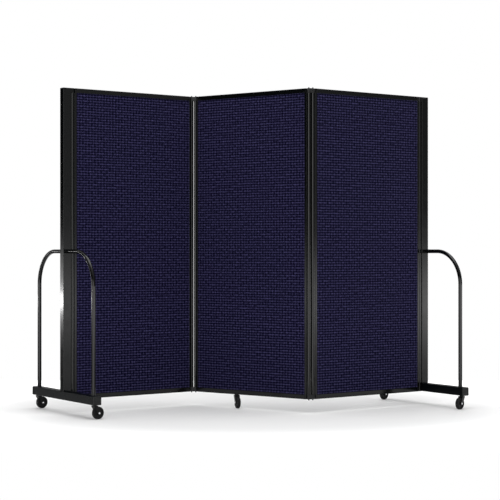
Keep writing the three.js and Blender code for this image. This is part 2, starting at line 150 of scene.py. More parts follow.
# %% [markdown]
# ## Finishes from nodes
#
# A finish is a Principled shader whose colour, roughness and bump come from noise in Object
# coordinates. As every mesh is in metres and sits at the origin, a noise scale of 1000 has grains
# about a millimetre wide, and the grain doesn't stretch on a long rail.

# %% Helpers for shader nodes
NOISE_RANGE = (0.3, 0.7)


def new_finish(name, colour, roughness, metallic=0.0, **sockets):
    """A material and its Principled shader, with the plain values set on its own sockets."""
    material = bpy.data.materials.new(name)
    material.use_nodes = True
    shader = material.node_tree.nodes["Principled BSDF"]
    shader.inputs["Base Color"].default_value = (*colour, 1)
    shader.inputs["Roughness"].default_value = roughness
    shader.inputs["Metallic"].default_value = metallic
    for socket, value in sockets.items():
        shader.inputs[socket.replace("_", " ")].default_value = value
    return material, shader


def add_node(material, kind, inputs=None, **settings):
    """A node of a material or the world, with its settings, and with values or links for its
    inputs."""
    node = material.node_tree.nodes.new(kind)
    for key, value in settings.items():
        setattr(node, key, value)
    for key, value in (inputs or {}).items():
        if isinstance(value, bpy.types.NodeSocket):
            material.node_tree.links.new(value, node.inputs[key])
        else:
            node.inputs[key].default_value = value
    return node


def join(material, source, target):
    material.node_tree.links.new(source, target)


def maths(material, operation, *values):
    """The result of a Math node; values are sockets or numbers."""
    node = add_node(material, "ShaderNodeMath", dict(enumerate(values)), operation=operation)
    return node.outputs[0]


def mapped(material, value, span, ends, **settings):
    """Carries value from the ends of span to ends, and holds it at both."""
    names = ("From Min", "From Max", "To Min", "To Max")
    inputs = {"Value": value, **dict(zip(names, (*span, *ends)))}
    return add_node(material, "ShaderNodeMapRange", inputs, **settings).outputs["Result"]


def smooth_step(material, value, span, ends):
    """The same along a curve that leaves and arrives level."""
    return mapped(material, value, span, ends, interpolation_type="SMOOTHSTEP")


def spread_between(material, amount, low, high):
    """Carries a noise value from its usual range to the range low to high."""
    return mapped(material, amount, NOISE_RANGE, (low, high))


def object_grain(material, scale, detail, stretch=(1, 1, 1)):
    """Noise in Object coordinates, with a stretch for brushed or drawn surfaces."""
    coordinates = add_node(material, "ShaderNodeTexCoord").outputs["Object"]
    spread = add_node(
        material, "ShaderNodeMapping", {"Vector": coordinates, "Scale": stretch}
    ).outputs["Vector"]
    noise = add_node(
        material, "ShaderNodeTexNoise", {"Vector": spread, "Scale": scale, "Detail": detail}
    )
    return noise.outputs["Fac"]


def mixed_colour(material, share, first, second, **settings):
    """first where share is 0 and second where it is 1."""
    mix = add_node(
        material,
        "ShaderNodeMix",
        {"Factor": share, "A": (*first, 1), "B": (*second, 1)},
        data_type="RGBA",
        **settings,
    )
    return mix.outputs["Result"]


def bumped(material, shader, height, distance, strength=1.0):
    """Tilts a shader's normal by a height whose full swing is the distance in metres."""
    bump = add_node(
        material, "ShaderNodeBump", {"Height": height, "Distance": distance, "Strength": strength}
    )
    join(material, bump.outputs["Normal"], shader.inputs["Normal"])


def shaded(colour, share):
    return tuple(value * share for value in colour)


# %% [markdown]
# ## Powder coat, gloss paint and moulded plastic
#
# The posts, stiles and rails are powder coated in a satin dark graphite. Powder coat has a faint
# orange peel a millimetre or two across, and handling leaves slow changes in its gloss. The foot
# bars have a duller, finely textured coat, and the caster forks a plain black one. The bent tube
# has a wetter, blacker gloss paint. Caps and hinge blocks are moulded and have a fine leather-like
# grain, which scatters light more.

# %% Coated and moulded finishes
PATCHES_PER_METRE = 9
HANDLING_PER_METRE = 38
TONE_LOW, TONE_HIGH = 0.82, 1.2
GLOSS_LOW, GLOSS_HIGH = 0.86, 1.16


def grained_finish(name, colour, roughness, grain, peel, specular):
    """A finish with slow changes of colour and gloss, and a fine bump: grain is its number of
    grains per metre and peel its height in metres."""
    material, shader = new_finish(name, colour, roughness, Specular_IOR_Level=specular)
    patches = object_grain(material, PATCHES_PER_METRE, 4)
    tone = mixed_colour(material, patches, shaded(colour, TONE_LOW), shaded(colour, TONE_HIGH))
    join(material, tone, shader.inputs["Base Color"])
    handling = object_grain(material, HANDLING_PER_METRE, 5)
    gloss = spread_between(material, handling, roughness * GLOSS_LOW, roughness * GLOSS_HIGH)
    join(material, gloss, shader.inputs["Roughness"])
    bumped(material, shader, object_grain(material, grain, 1.5), peel)
    return material


coat = grained_finish(
    "graphite_coat", (0.0020, 0.0024, 0.0026), 0.11, grain=620, peel=0.000004, specular=0.28
)
bar_coat = grained_finish(
    "bar_coat", (0.0018, 0.0026, 0.0032), 0.30, grain=900, peel=0.00002, specular=0.04
)
tube_paint = grained_finish(
    "gloss_tube", (0.0016, 0.0018, 0.0019), 0.09, grain=240, peel=0.000004, specular=0.32
)
moulded = grained_finish(
    "moulded_black", (0.0100, 0.0104, 0.0106), 0.52, grain=1500, peel=0.00005, specular=0.28
)
caster_paint = grained_finish(
    "caster_black", (0.0026, 0.0028, 0.0030), 0.34, grain=800, peel=0.00003, specular=0.22
)
print("coated and moulded finishes", [material.name for material in bpy.data.materials])

# %% [markdown]
# ## Rod steel, plated steel, rubber and board
#
# Hinge rods are drawn steel: their scratches run along the rod. Axle heads are plated and bright.
# The wheels are smooth black rubber with a matte bloom, and the hidden board has its fibres.

# %% Metal, rubber and board finishes
rod_steel, shader = new_finish("dark_rod", (0.05, 0.051, 0.055), 0.32, 1.0)
drawn = object_grain(rod_steel, 1400, 2, (1, 1, 0.02))
join(rod_steel, spread_between(rod_steel, drawn, 0.24, 0.44), shader.inputs["Roughness"])
bumped(rod_steel, shader, drawn, 0.00002)

plated, shader = new_finish("bright_steel", (0.80, 0.81, 0.83), 0.14, 1.0)
turned = object_grain(plated, 900, 3)
join(plated, spread_between(plated, turned, 0.09, 0.22), shader.inputs["Roughness"])

rubber, shader = new_finish("wheel_rubber", (0.003, 0.003, 0.0034), 0.5, Specular_IOR_Level=0.25)
bloom = object_grain(rubber, 55, 5)
join(rubber, mixed_colour(rubber, bloom, (0.002, 0.002, 0.0024), (0.005, 0.005, 0.0056)),
     shader.inputs["Base Color"])
join(rubber, spread_between(rubber, bloom, 0.42, 0.62), shader.inputs["Roughness"])
bumped(rubber, shader, object_grain(rubber, 1900, 1), 0.00004)

board, shader = new_finish("board", (0.16, 0.14, 0.11), 0.85)
fibres = object_grain(board, 320, 6)
join(board, mixed_colour(board, fibres, (0.12, 0.105, 0.082), (0.21, 0.185, 0.15)),
     shader.inputs["Base Color"])
bumped(board, shader, fibres, 0.0002)

# %% [markdown]
# ## The cloth
#
# The cloth is a heavy ribbed weave in a dark navy. Its ribs lie level, a little over a centimetre
# apart, paler upright warps cross them, and the thick yarns come and go in short slubs. From
# across a room the gaps between them look like rows of fine dark dashes; the dark of the gaps is
# painted shade, while the paler warps and the slubs are the cloth's own tone. The cloth has its
# own UV map in metres, the way round the panel and up it, so the pattern goes round the edges
# with the cloth. Five things make it up: the ribs, from a cosine of the height; the warps, from a
# cosine of the way round; the slubs, from noise as tall as a rib; and the yarns, a fine grid of
# crossings, and the fleece, fine noise, which show only from close by. Their shares are added,
# and what is left below zero takes the darkest colour: painted shade in the rib valleys and in
# the gaps between yarns.

# %% The cloth's finish
RIB_PITCH = 0.0123
WARP_PITCH = 0.0162
YARN_PITCH = 0.0021
YARN_FLATTENING = 0.7
SLUBS_PER_METRE = 130
SLUB_THIN, SLUB_THICK = 0.25, 1.2
FLEECE_PER_METRE = 1600
RIB_SHARE = 0.80
WARP_SHARE = 0.30
YARN_SHARE = 0.12
FLEECE_SHARE = 0.12
# The gap share sends the rib valleys and yarn gaps to the darkest colour: painted shade.
GAP_SHADE_SHARE = -0.285
RIB_RELIEF = 0.6
RELIEF_HEIGHT = 0.0005
RELIEF_STRENGTH = 0.6
CLOTH_ROUGHNESS = (0.82, 0.98)
# The first colour is that painted shade in the gaps; the second is the yarn's own palest colour.
CLOTH_GAP_SHADE = (0.0004, 0.0002, 0.0090)
CLOTH_LIGHT = (0.0480, 0.0432, 0.1150)

cloth, shader = new_finish(
    "navy_fabric", CLOTH_GAP_SHADE, 0.9, Sheen_Weight=0.015, Sheen_Roughness=0.5,
    Specular_IOR_Level=0.05,
)
uv = add_node(cloth, "ShaderNodeUVMap", uv_map="cloth").outputs["UV"]
parts = add_node(cloth, "ShaderNodeSeparateXYZ", {"Vector": uv})
sideways, upwards = parts.outputs["X"], parts.outputs["Y"]


def wave_of(position, pitch):
    """0 to 1 and back over each pitch: half of one minus the cosine."""
    turn = maths(cloth, "MULTIPLY", position, 2 * math.pi / pitch)
    return maths(cloth, "MULTIPLY_ADD", maths(cloth, "COSINE", turn), -0.5, 0.5)


def cloth_noise(across_scale, up_scale, detail):
    """Noise on the cloth with its own number of grains per metre sideways and upwards."""
    stretched = add_node(
        cloth, "ShaderNodeMapping", {"Vector": uv, "Scale": (across_scale, up_scale, 1)}
    ).outputs["Vector"]
    noise = add_node(
        cloth, "ShaderNodeTexNoise", {"Vector": stretched, "Scale": 1.0, "Detail": detail}
    )
    return noise.outputs["Fac"]


ribs = wave_of(upwards, RIB_PITCH)
warps = wave_of(sideways, WARP_PITCH)
slub_noise = cloth_noise(SLUBS_PER_METRE, 1 / RIB_PITCH, 1.0)
slubs = spread_between(cloth, slub_noise, SLUB_THIN, SLUB_THICK)
fine_warps = wave_of(sideways, YARN_PITCH)
fine_ribs = wave_of(upwards, YARN_PITCH * YARN_FLATTENING)
yarns = maths(cloth, "MULTIPLY", fine_warps, fine_ribs)
fleece = cloth_noise(FLEECE_PER_METRE, FLEECE_PER_METRE, 2.0)
# Below zero this share gives painted shade in the gaps; above it, the cloth's own tone.
weave_tone_and_gap_shade = maths(cloth, "MULTIPLY", ribs, slubs)
weave_tone_and_gap_shade = maths(cloth, "MULTIPLY", weave_tone_and_gap_shade, RIB_SHARE)
weave_tone_and_gap_shade = maths(cloth, "MULTIPLY_ADD", yarns, YARN_SHARE, weave_tone_and_gap_shade)
weave_tone_and_gap_shade = maths(cloth, "MULTIPLY_ADD", warps, WARP_SHARE, weave_tone_and_gap_shade)
weave_tone_and_gap_shade = maths(cloth, "ADD", weave_tone_and_gap_shade, GAP_SHADE_SHARE)
weave_tone_and_gap_shade = maths(cloth, "MULTIPLY_ADD", fleece, FLEECE_SHARE, weave_tone_and_gap_shade)
tone = mixed_colour(cloth, weave_tone_and_gap_shade, CLOTH_GAP_SHADE, CLOTH_LIGHT, clamp_factor=True)
join(cloth, tone, shader.inputs["Base Color"])
join(cloth, spread_between(cloth, fleece, *CLOTH_ROUGHNESS), shader.inputs["Roughness"])
relief = maths(cloth, "ADD", maths(cloth, "MULTIPLY", ribs, RIB_RELIEF), yarns)
bumped(cloth, shader, relief, RELIEF_HEIGHT, RELIEF_STRENGTH)
print("cloth nodes", len(cloth.node_tree.nodes))

# %% [markdown]
# ## Meshes from arrays
#
# Two ways of making a surface serve nearly every piece. A loft carries a closed outline through a
# row of stations, each with its own inset and height, and closes both ends. A lathe is a loft
# whose outline is a circle. Both are computed as whole arrays of points, and the quads come from
# index arithmetic: corner (row, column) meets (row, column + 1), (row + 1, column + 1) and
# (row + 1, column).

# %% Faces and pieces
SHARP_ANGLE = math.radians(38)
BEVEL_SEGMENTS = 2


def grid_faces(rows, columns):
    """Quads of a grid whose columns close on themselves, pointing out for an outline drawn
    counter-clockwise and rows that rise."""
    row, column = np.meshgrid(np.arange(rows - 1), np.arange(columns), indexing="ij")
    following = (column + 1) % columns
    corners = [
        row * columns + column,
        row * columns + following,
        (row + 1) * columns + following,
        (row + 1) * columns + column,
    ]
    return np.stack(corners, axis=-1).reshape(-1, 4).tolist()


def closed_loft(loops):
    """Points and faces of a loft through loops, an array of rows of points, with both ends
    closed by one face each."""
    rows, columns = loops.shape[:2]
    bottom = list(range(columns))[::-1]
    top = list(range((rows - 1) * columns, rows * columns))
    return loops.reshape(-1, 3), grid_faces(rows, columns) + [bottom, top]


def merged(*shapes):
    """Several shapes as one: their points in one array, their faces renumbered."""
    points, faces, first = [], [], 0
    for shape_points, shape_faces in shapes:
        points.append(shape_points)
        faces += [[first + corner for corner in face] for face in shape_faces]
        first += len(shape_points)
    return np.concatenate(points), faces


def piece(name, shape, material, body, stands_for, bevel=0.0, flat_faces=True):
    """A finished piece: its mesh, finish, body and the CAD node that it stands for. Weighted
    normals keep a wide flat face flat in its reflections where it runs on into a round edge."""
    points, faces = shape
    mesh = bpy.data.meshes.new(name)
    mesh.from_pydata(points, [], faces)
    mesh.polygons.foreach_set("use_smooth", [True] * len(mesh.polygons))
    mesh.set_sharp_from_angle(angle=SHARP_ANGLE)
    mesh.materials.append(material)
    made = bpy.data.objects.new(name, mesh)
    scene.collection.objects.link(made)
    if bevel:
        rounding = made.modifiers.new("rounding", "BEVEL")
        rounding.width = bevel
        rounding.segments = BEVEL_SEGMENTS
        rounding.limit_method = "ANGLE"
        rounding.angle_limit = SHARP_ANGLE
    if flat_faces:
        weighting = made.modifiers.new("flat_faces", "WEIGHTED_NORMAL")
        weighting.keep_sharp = True
    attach(made, body)
    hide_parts(stands_for)
    return made


# %% [markdown]
# ## Outlines
#
# Most sections here are made of arcs and straight runs: a circle, a tube with rounded corners, or
# a bar with round ends. An arc is centre + radius (cosine, sine) of an even run of angles.

# %% Outline helpers
def arc(centre, radius, start, end, steps):
    """Points on an arc, its angles in degrees."""
    turn = np.radians(np.linspace(start, end, steps))
    return np.column_stack([centre[0] + radius * np.cos(turn), centre[1] + radius * np.sin(turn)])


def circle(radius, sides):
    return arc((0, 0), radius, 0, 360 - 360 / sides, sides)


CORNER_STEPS = 7


def rounded_rectangle(width, depth, radius, steps=CORNER_STEPS):
    """Four quarter arcs round a rectangle's corners, counter-clockwise."""
    x, y = width / 2 - radius, depth / 2 - radius
    corners = [(x, y, 0), (-x, y, 90), (-x, -y, 180), (x, -y, 270)]
    return np.concatenate([arc((cx, cy), radius, a, a + 90, steps) for cx, cy, a in corners])


def upright(outline, heights, insets=None, outline_at=None):
    """Loops of an outline at each height. outline_at gives the outline for an inset."""
    insets = np.zeros(len(heights)) if insets is None else insets
    flat = [outline if outline_at is None else outline_at(inset) for inset in insets]
    return np.stack([
        np.column_stack([loop, np.full(len(loop), height)]) for loop, height in zip(flat, heights)
    ])


RIM_STEPS = 4


def edge_rounding(low, high, radius):
    """Heights and insets that round both rims of a prism by a quarter circle: inset is
    r (1 - sin) and height r (1 - cos) of the same angle."""
    turn = np.linspace(0, math.pi / 2, RIM_STEPS)
    inset, rise = radius * (1 - np.sin(turn)), radius * (1 - np.cos(turn))
    return np.concatenate([low + rise, high - rise[::-1]]), np.concatenate([inset, inset[::-1]])


# %% [markdown]
# ## Stiles
#
# A stile is one extrusion: a channel that holds the panel's edge, flat faces, and a round barrel
# with the hinge rod in it, marked off from the flat faces by a narrow groove. The barrel is cut
# back at both ends to leave room for the link blocks. The channel's outline, a C, goes through
# four levels. Between the inner two the C's back is left open, and the barrel is drawn from one of
# its corners round to the other. A bevel softens the extrusion's sharp edges, because an edge with
# no rounding at all catches no light.

# %% Make the stiles
PANEL_HALF = 0.0095
COVER_HALF = 0.0076
GROOVE_HALF = 0.0079
BARREL_POINTS = 35
SHOULDER = 0.0072
CHANNEL_FACE = 0.0099
GROOVE_BACK = 0.0115
STILE_REACH = 0.0183
BLOCK_HEIGHT = 0.021
FIT_GAP = 0.0003
SOFT_EDGE = 0.0005

panel_low, panel_high = heights_of("middle_left_stile")


def stile_shape():
    """The C starts with the two corners of its back, so its back faces are those of column 0.
    The middle one makes way for the barrel, whose ends are closed by one face each. The barrel's
    arc starts where it meets the shoulder: the cosine of that angle is shoulder over radius."""
    channel = np.array([
        (CHANNEL_FACE, PANEL_HALF), (CHANNEL_FACE, -PANEL_HALF), (STILE_REACH, -PANEL_HALF),
        (STILE_REACH, -GROOVE_HALF), (GROOVE_BACK, -GROOVE_HALF), (GROOVE_BACK, GROOVE_HALF),
        (STILE_REACH, GROOVE_HALF), (STILE_REACH, PANEL_HALF),
    ])
    seat = BLOCK_HEIGHT + FIT_GAP
    inner_levels = [panel_low + seat, panel_high - seat]
    points, faces = closed_loft(upright(channel, [panel_low, *inner_levels, panel_high]))
    columns = len(channel)
    del faces[columns]
    turn = math.degrees(math.acos(SHOULDER / PANEL_HALF))
    barrel = np.concatenate([
        [(SHOULDER, PANEL_HALF)], arc((0, 0), PANEL_HALF, turn, 360 - turn, BARREL_POINTS - 2),
        [(SHOULDER, -PANEL_HALF)],
    ])
    below, above = (
        [level * columns, *range(start, start + BARREL_POINTS), level * columns + 1]
        for level, start in ((1, len(points)), (2, len(points) + BARREL_POINTS))
    )
    faces += [list(face) for face in zip(below, below[1:], above[1:], above)]
    faces += [below[::-1], above]
    return np.concatenate([points, upright(barrel, inner_levels).reshape(-1, 3)]), faces


def placed(stand, shape, turned=False):
    """A shape on its stand. turned first swings it half a turn to the stand's far end."""
    points, faces = shape
    if turned:
        points = points * (-1, -1, 1) + (stand["length"], 0, 0)
    return on_stand(stand, points), faces


for side, (body, stand) in panels.items():
    for end, turned in (("left", False), ("right", True)):
        name = f"{side}_{end}_stile"
        shape = placed(stand, stile_shape(), turned)
        piece(f"{name}_smooth", shape, coat, body, name, SOFT_EDGE)
print("stiles from", round(panel_low, 4), "to", round(panel_high, 4))

# %% [markdown]
# ## Rails
#
# Rails are extrusions too, with a groove along the inner edge for the covered board. Their
# section is carried straight from one stile to the other.

# %% Make the rails
RAIL_HEIGHT = 0.021
RAIL_GROOVE = 0.0062


def rail_shape(length):
    """A U outline in (across, up), carried along the panel between the stiles."""
    floor = RAIL_HEIGHT - RAIL_GROOVE
    outline = np.array([
        (-PANEL_HALF, 0), (PANEL_HALF, 0), (PANEL_HALF, RAIL_HEIGHT), (GROOVE_HALF, RAIL_HEIGHT),
        (GROOVE_HALF, floor), (-GROOVE_HALF, floor), (-GROOVE_HALF, RAIL_HEIGHT),
        (-PANEL_HALF, RAIL_HEIGHT),
    ])
    start = STILE_REACH + FIT_GAP
    places = (start, length - start)
    return closed_loft(np.stack([
        np.column_stack([np.full(len(outline), place), outline]) for place in places
    ]))


for side, (body, stand) in panels.items():
    for end in ("bottom", "top"):
        name = f"{side}_{end}_rail"
        points, faces = rail_shape(stand["length"])
        if end == "top":
            points = points * (1, -1, -1) + (0, 0, panel_high)
        else:
            points = points + (0, 0, panel_low)
        shape = on_stand(stand, points), faces
        piece(f"{name}_smooth", shape, coat, body, name, SOFT_EDGE)
print("rails are", RAIL_HEIGHT, "high, with a groove", RAIL_GROOVE, "deep")

# %% [markdown]
# ## The cloth covers
#
# The cloth is stretched round the board and its edges go into the channels. It is a sheet, so it
# is made as one: a closed line round the board is carried up the panel in fine steps, and the
# faces swell and sink with every rib. Solidify then gives it the thickness of cloth, inwards.

# %% Make the cloth covers
STEPS_PER_RIB = 4
RIB_DEPTH = 0.0005
CLOTH_THICKNESS = 0.001
FACE_COLUMNS = 30
CLOTH_CORNER = 0.0012
CLOTH_CORNER_STEPS = 4

cloth_low, cloth_high = heights_of("middle_fabric_cover")


def cover_shape(length):
    """Across at a point of a face is the cover's half thickness less the rib depth times
    (1 + cosine of the height over the pitch) / 2. Returns the points, and the ways round and up
    for the UV map."""
    start = GROOVE_BACK + FIT_GAP
    reach = length / 2 - start
    rim = rounded_rectangle(2 * reach, 2 * COVER_HALF, CLOTH_CORNER, CLOTH_CORNER_STEPS)
    quarters = rim.reshape(4, CLOTH_CORNER_STEPS, 2)
    even = np.linspace(1, -1, FACE_COLUMNS + 2)[1:-1] * (reach - CLOTH_CORNER)
    back = np.column_stack([even, np.full(FACE_COLUMNS, COVER_HALF)])
    front = np.column_stack([-even, np.full(FACE_COLUMNS, -COVER_HALF)])
    outline = np.concatenate([quarters[0], back, quarters[1], quarters[2], front, quarters[3]])
    rows = int((cloth_high - cloth_low) / RIB_PITCH * STEPS_PER_RIB) + 1
    heights = np.linspace(cloth_low, cloth_high, rows)
    dip = RIB_DEPTH * (1 + np.cos(2 * math.pi * heights / RIB_PITCH)) / 2
    points = np.empty((rows, len(outline), 3))
    points[..., 0] = outline[:, 0] + length / 2
    points[..., 1] = outline[:, 1] * (1 - dip[:, None] / COVER_HALF)
    points[..., 2] = heights[:, None]
    steps = np.hypot(*np.diff(outline, axis=0, append=outline[:1]).T)
    around = np.concatenate([[0], np.cumsum(steps)])
    return points, around, heights


def add_uv(mesh, around, heights, columns):
    """UV places in metres, worked out from each face corner's row and column. The seam's last
    column takes the full way round in place of zero."""
    corners = np.empty(len(mesh.loops), dtype=np.int64)
    mesh.loops.foreach_get("vertex_index", corners)
    row, column = corners // columns, corners % columns
    quads = column.reshape(-1, 4)
    wraps = quads.max(axis=1, keepdims=True) == columns - 1
    column = np.where(wraps & (quads == 0), columns, quads).reshape(-1)
    layer = mesh.uv_layers.new(name="cloth")
    layer.uv.foreach_set("vector", np.column_stack([around[column], heights[row]]).ravel())


for side, (body, stand) in panels.items():
    points, around, heights = cover_shape(stand["length"])
    rows, columns = points.shape[:2]
    shape = on_stand(stand, points).reshape(-1, 3), grid_faces(rows, columns)
    node = f"{side}_fabric_cover"
    cover = piece(f"{side}_cloth", shape, cloth, body, node, flat_faces=False)
    add_uv(cover.data, around, heights, columns)
    thickness = cover.modifiers.new("thickness", "SOLIDIFY")
    thickness.thickness = CLOTH_THICKNESS
    thickness.offset = -1
    core_materials = frame["nodes"][f"{side}_core"].data.materials
    core_materials.clear()
    core_materials.append(board)

# %% [markdown]
# ## Link blocks, lugs and rods
#
# Where two panels meet, a block with round ends joins their rods at the top and at the bottom, so
# the panels can fold either way. At the outer ends a lug on the post does the same for one rod.
# A block is its outline carried through stations that round its rims. A rod is a long lathe shape
# with domed ends, as high as its solid in the CAD model.

# %% Make the hinges
BLOCK_RADIUS = 0.0095
BLOCK_ROUNDING = 0.0016
BLOCK_END_POINTS = 20
ROD_RADIUS = 0.003
ROD_SIDES = 24
ROD_TIP = math.radians(8)
ROD_TIP_STEPS = 7
LUG_REACH = 0.0102


def block_shape(low, high, far):
    """A bar with round ends from one rod to the next: its outline shrinks with the inset."""
    def outline(inset):
        radius = BLOCK_RADIUS - inset
        return np.concatenate([
            arc((far, 0), radius, -90, 90, BLOCK_END_POINTS),
            arc((0, 0), radius, 90, 270, BLOCK_END_POINTS),
        ])
    heights, insets = edge_rounding(low, high, BLOCK_ROUNDING)
    return closed_loft(upright(None, heights, insets, outline))


def lug_shape(low, high, reach):
    """Round at the rod and square where it meets the post, which lies towards -along."""
    outline = np.concatenate([
        arc((0, 0), BLOCK_RADIUS, -90, 90, BLOCK_END_POINTS),
        [(-reach, BLOCK_RADIUS), (-reach, -BLOCK_RADIUS)],
    ])
    return closed_loft(upright(outline, [low, high]))


def lathe(profile, sides):
    """Radius and height pairs turned about an upright axis, with small flat ends."""
    ring = circle(1, sides)
    loops = np.empty((len(profile), sides, 3))
    loops[..., :2] = ring * profile[:, :1, None]
    loops[..., 2] = profile[:, 1:]
    return closed_loft(loops)


def rod_profile(low, high):
    """A capsule: radius sin and radius (1 - cos) of the same angle, at both ends."""
    turn = np.linspace(ROD_TIP, math.pi / 2, ROD_TIP_STEPS)
    half = ROD_RADIUS * np.column_stack([np.sin(turn), 1 - np.cos(turn)])
    return np.concatenate([half + (0, low), (half * (1, -1) + (0, high))[::-1]])


def add_rod(node, body, stand, place):
    """A rod as high as its CAD node, at a place along a stand."""
    points, faces = lathe(rod_profile(*heights_of(node)), ROD_SIDES)
    shape = on_stand(stand, points + (place, 0, 0)), faces
    piece(f"{node}_smooth", shape, rod_steel, body, node)


ends = {"bottom": panel_low, "top": panel_high - BLOCK_HEIGHT}
for side, (body, stand) in links.items():
    for end, low in ends.items():
        name = f"{side}_hinge_{end}_block"
        shape = placed(stand, block_shape(low, low + BLOCK_HEIGHT, stand["length"]))
        piece(f"{name}_smooth", shape, moulded, body, name)
    add_rod(f"{side}_hinge_left_rod", body, stand, 0)
    add_rod(f"{side}_hinge_right_rod", body, stand, stand["length"])
print("links from rod to rod", round(stand["length"], 4))

# %% [markdown]
# ## End frames
#
# Each end panel hangs on a post that stands on a foot bar. The post is an oblong tube, the bar a
# square one, and both have moulded caps. An end frame's stand starts at the middle of its post and
# runs as its panel's does. A cap is one shape for all: it is drawn rising from its plug, and the
# bars' caps are laid down.

# %% Stands, posts, bars and caps
POST_WIDTH = 0.041
POST_DEPTH = 0.035
POST_ROUND = 0.002
BAR_SIZE = 0.040
BAR_ROUND = 0.0032
CAP_THICKNESS = 0.003
CAP_ROUNDING = 0.0014
CAP_PLUG = 0.010
CAP_PLUG_INSET = 0.0023
CAP_STEPS = 5
LEAST_ROUND = 0.0008

end_frames = {
    "left": ("left_end_frame", panels["left"][1], -1),
    "right": ("right_end_frame", panels["right"][1], 1),
}


def frame_stand(name, panel_stand):
    """The stand of an end frame: on the post's own middle, along as the panel's."""
    return {**panel_stand, "origin": middle_of(f"{name}_post")[:2]}


def cap_shape(width, depth, radius):
    """A plug, then a plate whose rim is rounded, as one loft that rises from the plug."""
    def outline(inset):
        corner = max(radius - inset, LEAST_ROUND)
        return rounded_rectangle(width - 2 * inset, depth - 2 * inset, corner)
    turn = np.linspace(0, math.pi / 2, CAP_STEPS)
    insets = np.concatenate([
        [CAP_PLUG_INSET, CAP_PLUG_INSET, 0], CAP_ROUNDING * (1 - np.cos(turn)),
    ])
    heights = np.concatenate([
        [-CAP_PLUG, 0, 0], CAP_THICKNESS - CAP_ROUNDING * (1 - np.sin(turn)),
    ])
    return closed_loft(upright(None, heights, insets, outline))


def laid(points, side):
    """Turns an upright shape to lie across the stand, its top towards side."""
    return np.stack([points[..., 0] * side, points[..., 2] * side, points[..., 1]], axis=-1)


for name, (body, panel_stand, _) in end_frames.items():
    stand = frame_stand(name, panel_stand)
    post_low, post_high = heights_of(f"{name}_post")
    outline = rounded_rectangle(POST_WIDTH, POST_DEPTH, POST_ROUND)
    shape = placed(stand, closed_loft(upright(outline, [post_low, post_high])))
    piece(f"{name}_post_smooth", shape, coat, body, f"{name}_post")

    node = f"{name}_post_cap"
    points, faces = cap_shape(POST_WIDTH, POST_DEPTH, POST_ROUND)
    shape = on_stand(stand, points + (0, 0, panel_high - CAP_THICKNESS)), faces
    piece(f"{node}_smooth", shape, moulded, body, node)

    node = f"{name}_foot_bar"
    bar_middle = sum(heights_of(node)) / 2
    front, rear = (middle_of(f"{name}_bar_{end}_cap")[:2] for end in ("front", "rear"))
    bar_half = float(np.hypot(*(rear - front))) / 2 + (CAP_PLUG - CAP_THICKNESS) / 2
    section = rounded_rectangle(BAR_SIZE, BAR_SIZE, BAR_ROUND)
    tube_half = bar_half - FIT_GAP
    points, faces = closed_loft(upright(section, [-tube_half, tube_half]))
    shape = on_stand(stand, laid(points, -1) + (0, 0, bar_middle)), faces
    piece(f"{node}_smooth", shape, bar_coat, body, node)
    for end, way in (("front", -1), ("rear", 1)):
        node = f"{name}_bar_{end}_cap"
        points, faces = cap_shape(BAR_SIZE, BAR_SIZE, BAR_ROUND)
        points = laid(points, way) + (0, way * bar_half, bar_middle)
        if way > 0:
            faces = [face[::-1] for face in faces]
        shape = on_stand(stand, points), faces
        piece(f"{node}_smooth", shape, moulded, body, node)
    print(name, "post", round(post_low, 4), round(post_high, 4), "bar half", round(bar_half, 4))

# %% Make the lugs and end rods
for name, (body, panel_stand, side) in end_frames.items():
    rod_place = 0 if side < 0 else panel_stand["length"]
    for end, low in ends.items():
        reach = LUG_REACH if end == "top" else LUG_REACH + (POST_WIDTH - BAR_SIZE) / 2
        points, faces = lug_shape(low, low + BLOCK_HEIGHT, reach)
        if side > 0:
            points = points * (-1, -1, 1)
        shape = on_stand(panel_stand, points + (rod_place, 0, 0)), faces
        node = f"{name}_{end}_lug"
        piece(f"{node}_smooth", shape, coat, body, node, SOFT_EDGE)
    add_rod(f"{name}_end_rod", body, panel_stand, rod_place)
print("lugs reach", LUG_REACH, "to the posts")

# %% [markdown]
# ## The arches
#
# A bent steel tube rises from the foot bar, passes through the post, and comes down again. Its
# middle line is two legs, two quarter bends and a straight top. A ring is carried along it, kept
# square to the line: since the line lies in one upright plane, the plane's normal is one axis of
# every ring and the other is at right angles to both the line and the normal.

# %% Make the arches
ARCH_RADIUS = 0.0095
ARCH_LEG = 0.270
ARCH_BEND = 0.160
ARCH_TOP = 0.761
BEND_STEPS = 28
ARCH_SIDES = 28


def arch_shape(foot):
    """Places and headings along the line as arrays, then a ring at each: place + r (cos t normal
    + sin t sideways)."""
    bend = np.radians(np.linspace(0, 90, BEND_STEPS))
    across = ARCH_LEG - ARCH_BEND * (1 - np.cos(bend))
    up = ARCH_TOP - ARCH_BEND * (1 - np.sin(bend))
    heading = np.column_stack([-np.sin(bend), np.cos(bend)])
    half = np.concatenate([[(ARCH_LEG, foot)], np.column_stack([across, up])])
    half_heading = np.concatenate([[(0, 1)], heading])
    line = np.concatenate([half, half[::-1] * (-1, 1)])
    headings = np.concatenate([half_heading, half_heading[::-1] * (1, -1)])
    turn = np.radians(np.arange(ARCH_SIDES) * 360 / ARCH_SIDES)
    normal = np.array([1, 0, 0])
    sideways = np.column_stack([np.zeros(len(line)), headings[:, 1], -headings[:, 0]])
    centre = np.column_stack([np.zeros(len(line)), line])
    ring = (
        np.cos(turn)[None, :, None] * normal
        + np.sin(turn)[None, :, None] * sideways[:, None, :]
    )
    return closed_loft(centre[:, None, :] + ARCH_RADIUS * ring)


for name, (body, panel_stand, _) in end_frames.items():
    node = f"{name}_arch"
    shape = placed(frame_stand(name, panel_stand), arch_shape(heights_of(node)[0]))
    piece(f"{node}_smooth", shape, tube_paint, body, node)
print("arches up to", ARCH_TOP + ARCH_RADIUS)

